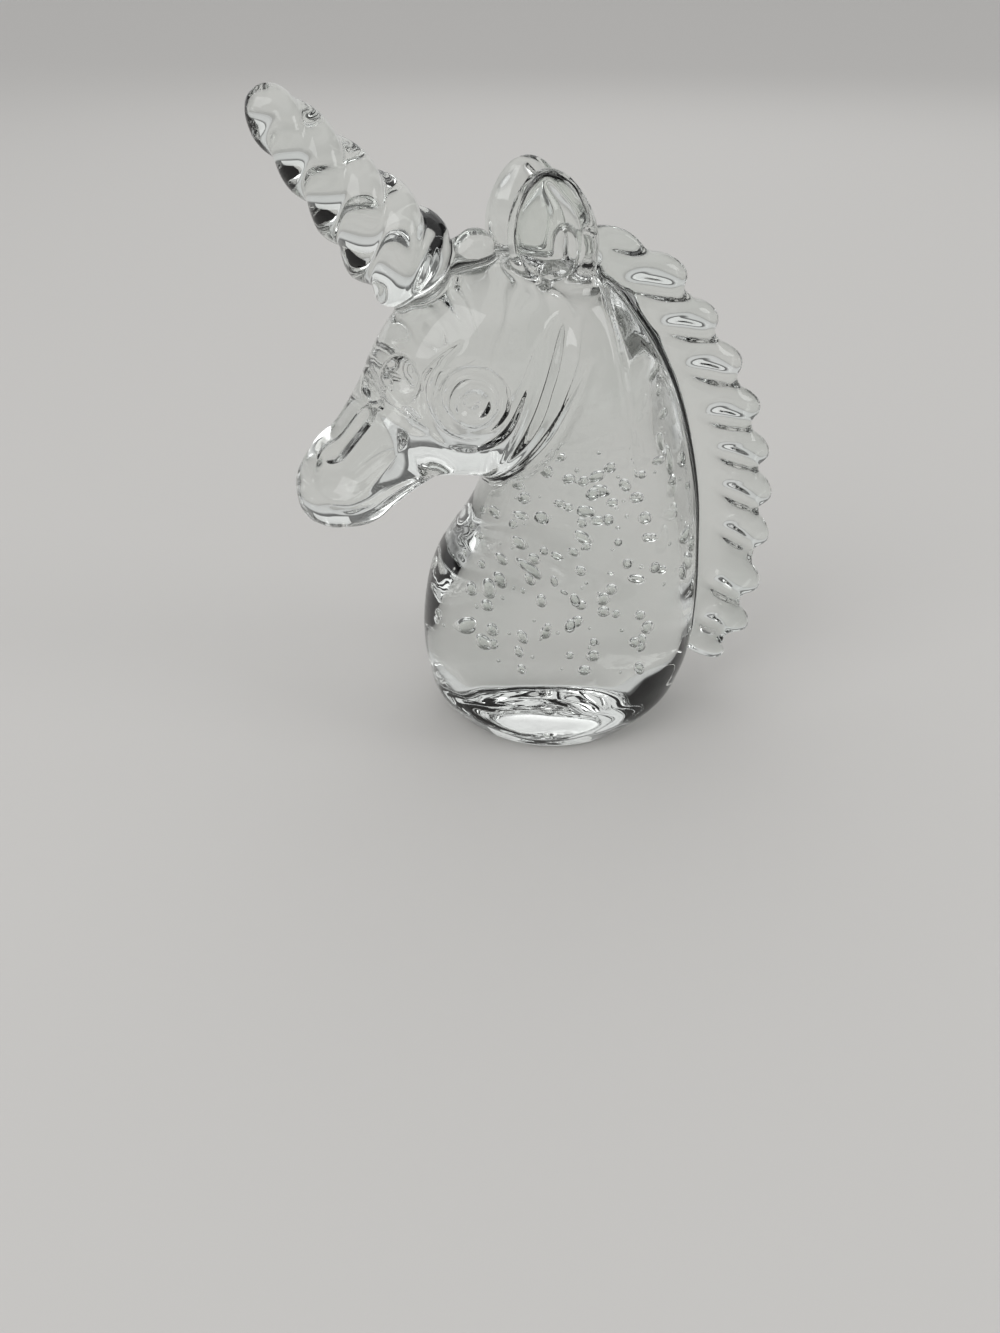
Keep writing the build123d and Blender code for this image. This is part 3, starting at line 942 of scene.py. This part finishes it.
# %% Glass pieces
for number, name in enumerate(owners, 1):
    extra = hollow if name == "neck_casing" else None
    piece = piece_of(number, "glass_" + name, clear_glass, extra)
    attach(piece, "root")
    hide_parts(name)
    print(piece.name, sum(len(f.vertices) - 2 for f in piece.data.polygons), "triangles")

# %% [markdown]
# ## The bubbles
#
# The maker rolls the first gather over a bed of spikes and covers it with clear glass, which traps
# air at every dent. So the bubbles lie in rows inside a core. The tree works out a row, a turn and a
# depth from each point's index, casts a ray from the core's axis to its skin, and sets a bubble
# part of the way along it. A bubble is glass turned inside out: its faces look into the air.

# %% Bubble sizes
row_gap = 0.080
first_row = 0.075
golden_share = 0.618034
least_depth = 0.26
depth_span = 0.62
# The bounds of what differs from bubble to bubble
row_stray = (-0.025, 0.025)
turn_stray = (-0.22, 0.22)
bead_stray = (0.78, 1.2)
tall_stray = (0.7, 1.6)
tip_stray = (-0.5, 0.5)
core_foot, core_top = core_shares[0][0], core_shares[-1][0]
tree, size = new_tree("bubbles", Rows=10, Each=9, Foot=neck_height * core_foot * mm,
                      Height=neck_height * (core_top - core_foot) * mm, Bead=1.25 * mm, Turn=0.4363,
                      Length=breast_length * mm, Seed=7, Detail=3, Finish=bubbled_glass)
seed_sizes = {"Each": 7, "Bead": 0.4 * mm, "Turn": 0.55, "Seed": 31, "Detail": 2}
print("bubbles from", core_foot, "to", core_top, "of the neck")


def chance(low, high, salt):
    """A random number for each point between two bounds."""
    seed = calc(tree, "ADD", size["Seed"], float(salt))
    drawn = put(tree, "FunctionNodeRandomValue", {"data_type": "FLOAT"}, in_2=low, in_3=high, Seed=seed)
    return drawn.outputs[1]


# %% Bubble tree: where
number = put(tree, "GeometryNodeInputIndex")
each = calc(tree, "FLOOR", calc(tree, "DIVIDE", number, size["Each"]))
slot = calc(tree, "MODULO", number, size["Each"])
points_in = put(tree, "GeometryNodePoints", Count=calc(tree, "MULTIPLY", size["Rows"], size["Each"]))
share = calc(tree, "ADD", calc(tree, "MULTIPLY_ADD", each, row_gap, first_row), chance(*row_stray, 1))
height = calc(tree, "MULTIPLY_ADD", share, size["Height"], size["Foot"])
angle = calc(tree, "ADD", calc(tree, "MULTIPLY", slot, calc(tree, "DIVIDE", tau, size["Each"])),
             calc(tree, "ADD", calc(tree, "MULTIPLY", each, size["Turn"]), chance(*turn_stray, 2)))
bend = put(tree, "ShaderNodeFloatCurve", Value=share)
draw_curve(bend, core_shares)
middle_x = calc(tree, "MULTIPLY", bend, size["Length"])
axis_place = put(tree, "ShaderNodeCombineXYZ", X=middle_x, Z=height)
ray_way = put(tree, "ShaderNodeCombineXYZ", X=calc(tree, "COSINE", angle), Y=calc(tree, "SINE", angle))
ray = put(tree, "GeometryNodeRaycast", Target_Geometry=size["Geometry"], Source_Position=axis_place,
          Ray_Direction=ray_way, Ray_Length=1.0)
depth = calc(tree, "MULTIPLY_ADD", calc(tree, "FRACT", calc(tree, "MULTIPLY", number, golden_share)),
             depth_span, least_depth)
out = put(tree, "ShaderNodeVectorMath", {"operation": "SCALE"}, in_0=ray_way,
          Scale=calc(tree, "MULTIPLY", ray.outputs["Hit Distance"], depth))
spot = put(tree, "ShaderNodeVectorMath", {"operation": "ADD"}, in_0=axis_place, in_1=out)
points_in = put(tree, "GeometryNodeSetPosition", Geometry=points_in, Position=spot)
print(len(tree.nodes), "nodes for the places")

# %% Bubble tree: what
ball = put(tree, "GeometryNodeMeshIcoSphere", Radius=1.0, Subdivisions=size["Detail"])
radius = calc(tree, "MULTIPLY", size["Bead"], chance(*bead_stray, 3))
tall = calc(tree, "MULTIPLY", radius, calc(tree, "MAXIMUM", 1.0, chance(*tall_stray, 4)))
stretch = put(tree, "ShaderNodeCombineXYZ", X=radius, Y=radius, Z=tall)
tip_over = put(tree, "ShaderNodeCombineXYZ", X=chance(*tip_stray, 5), Y=chance(*tip_stray, 6))
beads = put(tree, "GeometryNodeInstanceOnPoints", Points=points_in, Instance=ball,
            Rotation=tip_over, Scale=stretch)
real = put(tree, "GeometryNodeRealizeInstances", Geometry=beads)
inside_out = put(tree, "GeometryNodeFlipFaces", Mesh=real)
soft = put(tree, "GeometryNodeSetShadeSmooth", Geometry=inside_out)
close_tree(tree, soft, Material=size["Finish"])
bubble_mesh = grown(tree, start=core_mesh)
seed_mesh = grown(tree, seed_sizes, core_mesh)
# A ball of Detail 2 has 80 faces, one of Detail 3 has 320
print("bubbles:", len(bubble_mesh.polygons) // 320, "and seeds:", len(seed_mesh.polygons) // 80)

# %% Glass core
both = bmesh.new()
both.from_mesh(core_mesh)
shell_count = len(both.faces)
both.from_mesh(bubble_mesh)
both.from_mesh(seed_mesh)
for number, face in enumerate(both.faces):
    face.material_index = 1 if number < shell_count else 0
    face.smooth = True
mesh = bpy.data.meshes.new("glass_core")
both.to_mesh(mesh)
both.free()
mesh.materials.append(bubbled_glass)
mesh.materials.append(fused_seam)
core = linked("glass_core", mesh)
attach(core, "root")
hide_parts(core_name)
print("core and bubbles of", len(mesh.polygons), "faces")

# %% [markdown]
# ## The finishes
#
# Clear glass is one Principled shader with full transmission. What makes it look blown rather than
# ground is small: a slow ripple from the tools, a faint cord of thicker glass, and a skin that is a
# little less polished where it was touched. One node group gives these as a colour, a roughness
# and a height, and each glass takes them with its own values.

# %% Hot-worked skin
skin = bpy.data.node_groups.new("hot_worked_skin", "ShaderNodeTree")
colour_kind, number_kind = "NodeSocketColor", "NodeSocketFloat"
skin.interface.new_socket("Tint", in_out="INPUT", socket_type=colour_kind)
for label, value in (("Cord", 60.0), ("Ripple", 55.0), ("Polish", 0.004), ("Touch", 0.03)):
    skin.interface.new_socket(label, in_out="INPUT", socket_type=number_kind).default_value = value
for label, kind in (("Color", colour_kind), ("Roughness", number_kind), ("Height", number_kind)):
    skin.interface.new_socket(label, in_out="OUTPUT", socket_type=kind)
value = skin.nodes.new("NodeGroupInput").outputs
where = put(skin, "ShaderNodeTexCoord").outputs["Object"]
drawn_up = put(skin, "ShaderNodeMapping", Vector=where, Scale=(1, 1, 0.35))
ripple = put(skin, "ShaderNodeTexNoise", Vector=drawn_up, Scale=value["Ripple"], Detail=1.5, Roughness=0.4)
cord = put(skin, "ShaderNodeTexNoise", Vector=drawn_up, Scale=value["Cord"], Detail=2.0)
cord_mask = put(skin, "ShaderNodeMapRange", Value=cord, From_Min=0.45, From_Max=0.75)
cord_tint = (0.93, 0.95, 0.94, 1)
darker = put(skin, "ShaderNodeMix", {"data_type": "RGBA", "blend_type": "MULTIPLY"}, in_6=value["Tint"],
             in_7=cord_tint, in_0=cord_mask)
touch = put(skin, "ShaderNodeTexNoise", Vector=where, Scale=90.0, Detail=3.0)
touched = put(skin, "ShaderNodeMapRange", Value=touch, From_Min=0.58, From_Max=0.75)
rough = calc(skin, "MULTIPLY_ADD", touched, value["Touch"], value["Polish"])
put(skin, "NodeGroupOutput", Color=darker.outputs[2], Roughness=rough, Height=ripple)
print(len(skin.nodes), "nodes for the skin")


# %% Glasses and seam
def dress(material, tint, ripple_depth, **values):
    """Glass in one material, with the skin's group in it."""
    material.use_nodes = True
    tree = material.node_tree
    group = put(tree, "ShaderNodeGroup", {"node_tree": skin}, Tint=tint, **values)
    bump = put(tree, "ShaderNodeBump", Strength=1.0, Distance=ripple_depth, Height=group.outputs["Height"])
    feed(tree, tree.nodes["Principled BSDF"], Metallic=0, Transmission_Weight=1, IOR=1.5,
         Base_Color=group.outputs["Color"], Roughness=group.outputs["Roughness"], Normal=bump)
    print(material.name, "dressed")


dress(clear_glass, tint=(0.93, 0.95, 0.93, 1), ripple_depth=0.0009)
dress(bubbled_glass, tint=(0.93, 0.945, 0.925, 1), ripple_depth=0.0002, Touch=0.0)
fused_seam.use_nodes = True
seam = fused_seam.node_tree
seam.nodes.remove(seam.nodes["Principled BSDF"])
through = put(seam, "ShaderNodeBsdfTransparent", Color=(1, 1, 1, 1))
feed(seam, seam.nodes["Material Output"], Surface=through)

# %% [markdown]
# ## The floor, the light and the camera
#
# Glass shows little of itself: it shows what stands around it. A pale floor and a pale ceiling make
# it bright, and a darker band of wall between them gives its rims and creases their dark lines.

# %% Floor
floor_radius = 6.0
floor_z = -0.00015
edge = [(floor_radius * cos(radians(a)), floor_radius * sin(radians(a)), floor_z) for a in range(0, 360, 3)]
floor_mesh = bpy.data.meshes.new("floor")
floor_mesh.from_pydata(edge, [], [tuple(range(len(edge)))])
floor = linked("floor", floor_mesh)
pale = bpy.data.materials.new("pale_floor")
pale.use_nodes = True
paint = pale.node_tree.nodes["Principled BSDF"]
feed(pale.node_tree, paint, Base_Color=(0.56, 0.55, 0.535, 1), Roughness=0.85)
floor_mesh.materials.append(pale)
print("floor", 2 * floor_radius, "m across")

# %% Lamps
lamp_aim = Vector((0, 0, 0.08))
# Each lamp: name, place, width in metres and power in watts
for name, place, width, power in (
    ("window", (-0.9, -0.7, 1.1), 1.0, 6),
    ("bounce", (1.1, -0.5, 0.7), 0.5, 2.2),
    ("back", (0.3, 1.1, 0.9), 1.05, 2.2),
):
    light = bpy.data.lights.new(name, "AREA")
    light.shape = "SQUARE"
    light.size = width
    light.energy = power
    holder = linked(name, light)
    holder.location = place
    holder.rotation_euler = (lamp_aim - Vector(place)).to_track_quat("-Z", "Y").to_euler()
    print(name, "lamp of", power, "watts")

# %% Room
# The room's greys from the horizon to straight up: the places of the inner stops, and all the levels
wall_places = (0.04, 0.14, 0.20, 0.66, 0.80)
wall_levels = (0.54, 0.60, 0.62, 0.13, 0.15, 0.74, 0.76)
diffuse_level = 0.74
room = bpy.data.worlds.new("room")
scene.world = room
room.use_nodes = True
sky = room.node_tree
way = put(sky, "ShaderNodeTexCoord").outputs["Generated"]
up = put(sky, "ShaderNodeSeparateXYZ", Vector=way).outputs["Z"]
walls = put(sky, "ShaderNodeValToRGB", Fac=up)
stops = walls.color_ramp.elements
for place in wall_places:
    stops.new(place)
for stop, bright in zip(stops, wall_levels):
    stop.color = (bright, bright, bright, 1)
# Rays that the eye, a mirror image or clear glass sends out meet these greys, all others one even level
path = put(sky, "ShaderNodeLightPath").outputs
seen = calc(sky, "MAXIMUM", path["Is Camera Ray"], calc(
    sky, "MAXIMUM", path["Is Glossy Ray"], path["Is Transmission Ray"]))
level = put(sky, "ShaderNodeMix", in_0=seen, in_2=diffuse_level, in_3=walls)
grey = put(sky, "ShaderNodeCombineColor", Red=level, Green=level, Blue=level)
feed(sky, sky.nodes["Background"], Color=grey, Strength=1.0)
print(len(stops), "greys in the room")

# %% Camera
camera_place = (-0.0591, -0.3189, 0.197)
camera_tilt = 59.93
camera_turn = -8
eye = bpy.data.cameras.new("camera")
eye.sensor_width = 36
eye.sensor_fit = "AUTO"
eye.lens = 35.1
eye.clip_start = 0.01
camera = linked("camera", eye)
camera.location = camera_place
camera.rotation_euler = (radians(camera_tilt), 0, radians(camera_turn))
scene.camera = camera
scene.view_settings.view_transform = "Standard"
scene.cycles.max_bounces = 24
scene.cycles.transmission_bounces = 20
scene.cycles.transparent_max_bounces = 32
print("camera at", camera_place)

# %% Sizes
print("CAD box", cad_box)
